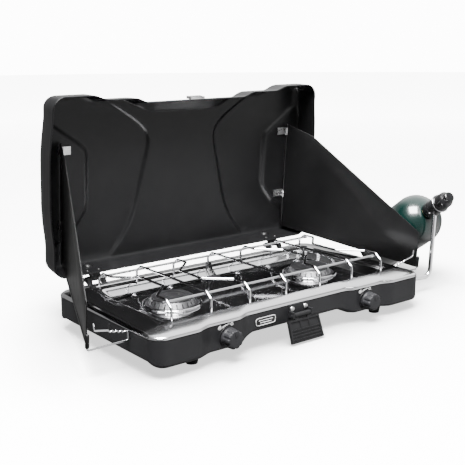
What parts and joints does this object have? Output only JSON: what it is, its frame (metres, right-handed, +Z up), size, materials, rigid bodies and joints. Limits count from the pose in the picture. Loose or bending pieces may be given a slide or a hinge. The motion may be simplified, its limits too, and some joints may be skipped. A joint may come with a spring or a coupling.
{
  "type": "camping stove",
  "caption": "Folding two-burner gas camping stove with lift-up lid, splayed wind panels, wire pot grate and a side gas regulator with fuel cylinder.",
  "frame": {"origin": "centre of the base footprint, on the surface the feet stand on", "axes": "+X to the stove's right, -Y to its front where the knobs are, +Z up"},
  "size_m": [0.838, 0.3683, 0.3841],
  "materials": {
    "black_enamel": "satin black enamel on pressed steel sheet",
    "black_rubber": "matt moulded rubber",
    "zinc_steel": "zinc plated steel",
    "polished_tray": "polished stainless sheet",
    "burner_aluminium": "turned aluminium",
    "burner_dark": "dark heat-proof enamel",
    "valve_brass": "machined brass",
    "chrome_wire": "chrome plated steel wire",
    "black_plastic": "moulded black plastic",
    "green_enamel": "gloss dark green enamel"
  },
  "bodies": {
    "root": {"base_shell": "black_enamel", "rubber_feet": "black_rubber", "foot_screws": "zinc_steel", "drip_tray": "polished_tray", "drip_ring_left": "polished_tray", "drip_ring_right": "polished_tray", "burner_bowl_left": "burner_aluminium", "burner_bowl_right": "burner_aluminium", "burner_head_left": "burner_aluminium", "burner_head_right": "burner_aluminium", "burner_cap_left": "burner_dark", "burner_cap_right": "burner_dark", "burner_bracket_left": "zinc_steel", "burner_bracket_right": "zinc_steel", "mixing_tube_left": "zinc_steel", "mixing_tube_right": "zinc_steel", "valve_body_left": "valve_brass", "valve_body_right": "valve_brass", "manifold_tube": "zinc_steel", "fuel_inlet": "valve_brass", "grate_clip": "zinc_steel", "hinge_leaf_base": "zinc_steel", "hinge_pins": "zinc_steel", "hinge_rivets": "zinc_steel", "latch_bracket": "zinc_steel", "latch_rivets": "zinc_steel", "latch_pin": "zinc_steel", "badge_plate": "burner_aluminium"},
    "lid": {"lid_shell": "black_enamel", "hinge_leaf_lid": "zinc_steel", "lid_keeper": "zinc_steel", "panel_clips_left": "zinc_steel", "panel_clips_right": "zinc_steel"},
    "panel_left": {"wind_panel_left": "black_enamel"},
    "panel_right": {"wind_panel_right": "black_enamel"},
    "strut_left": {"strut_left": "chrome_wire"},
    "strut_right": {"strut_right": "chrome_wire"},
    "grate": {"grate_bar_left_end": "chrome_wire", "grate_bar_left_burner": "chrome_wire", "grate_bar_left_inner": "chrome_wire", "grate_bar_middle": "chrome_wire", "grate_bar_right_inner": "chrome_wire", "grate_bar_right_burner": "chrome_wire", "grate_bar_right_end": "chrome_wire", "grate_rail_front": "chrome_wire", "grate_rail_rear": "chrome_wire"},
    "knob_left": {"knob_left": "black_plastic", "valve_stem_left": "zinc_steel"},
    "knob_right": {"knob_right": "black_plastic", "valve_stem_right": "zinc_steel"},
    "latch": {"latch_lever": "black_plastic"},
    "regulator": {"fuel_tube": "chrome_wire", "tube_nut": "valve_brass", "regulator_body": "black_plastic", "regulator_ring": "chrome_wire", "regulator_cap": "black_plastic"},
    "cylinder": {"fuel_cylinder": "green_enamel", "cylinder_valve": "valve_brass", "cylinder_foot": "black_plastic"}
  },
  "joints": [
    {"name": "lid_hinge", "type": "hinge", "parent": "root", "child": "lid", "pos_m": [0, 0.162, 0.071], "axis": [-1, 0, 0], "range_deg": [0, 25]},
    {"name": "panel_left_hinge", "type": "hinge", "parent": "lid", "child": "panel_left", "pos_m": [-0.2465, 0.19185, 0.08499], "axis": [0, 0.0872, -0.9962], "range_deg": [0, 11]},
    {"name": "panel_right_hinge", "type": "hinge", "parent": "lid", "child": "panel_right", "pos_m": [0.2465, 0.19185, 0.08499], "axis": [0, -0.0872, 0.9962], "range_deg": [0, 2.5]},
    {"name": "strut_left_hinge", "type": "hinge", "parent": "panel_left", "child": "strut_left", "pos_m": [-0.34949, -0.08343, 0.0609], "axis": [0, -0.0872, 0.9962], "range_deg": [-80, 34]},
    {"name": "strut_right_hinge", "type": "hinge", "parent": "panel_right", "child": "strut_right", "pos_m": [0.34949, -0.08343, 0.0609], "axis": [0, 0.0872, -0.9962], "range_deg": [-80, 34]},
    {"name": "grate_lift", "type": "slide", "parent": "root", "child": "grate", "axis": [0, 0, 1], "range_m": [0, 0.06]},
    {"name": "knob_left_turn", "type": "hinge", "parent": "root", "child": "knob_left", "pos_m": [-0.148, -0.15, 0.037], "axis": [0, -1, 0], "range_deg": [0, 240]},
    {"name": "knob_right_turn", "type": "hinge", "parent": "root", "child": "knob_right", "pos_m": [0.148, -0.15, 0.037], "axis": [0, -1, 0], "range_deg": [0, 240]},
    {"name": "latch_swing", "type": "hinge", "parent": "root", "child": "latch", "pos_m": [0, -0.145, 0.043], "axis": [-1, 0, 0], "range_deg": [0, 110]},
    {"name": "regulator_swivel", "type": "hinge", "parent": "root", "child": "regulator", "pos_m": [0.27, -0.092, 0.033], "axis": [1, 0, 0], "range_deg": [0, 25]},
    {"name": "cylinder_unscrew", "type": "slide", "parent": "regulator", "child": "cylinder", "axis": [0.2047, 0.8211, -0.5329], "range_m": [0, 0.03]}
  ]
}
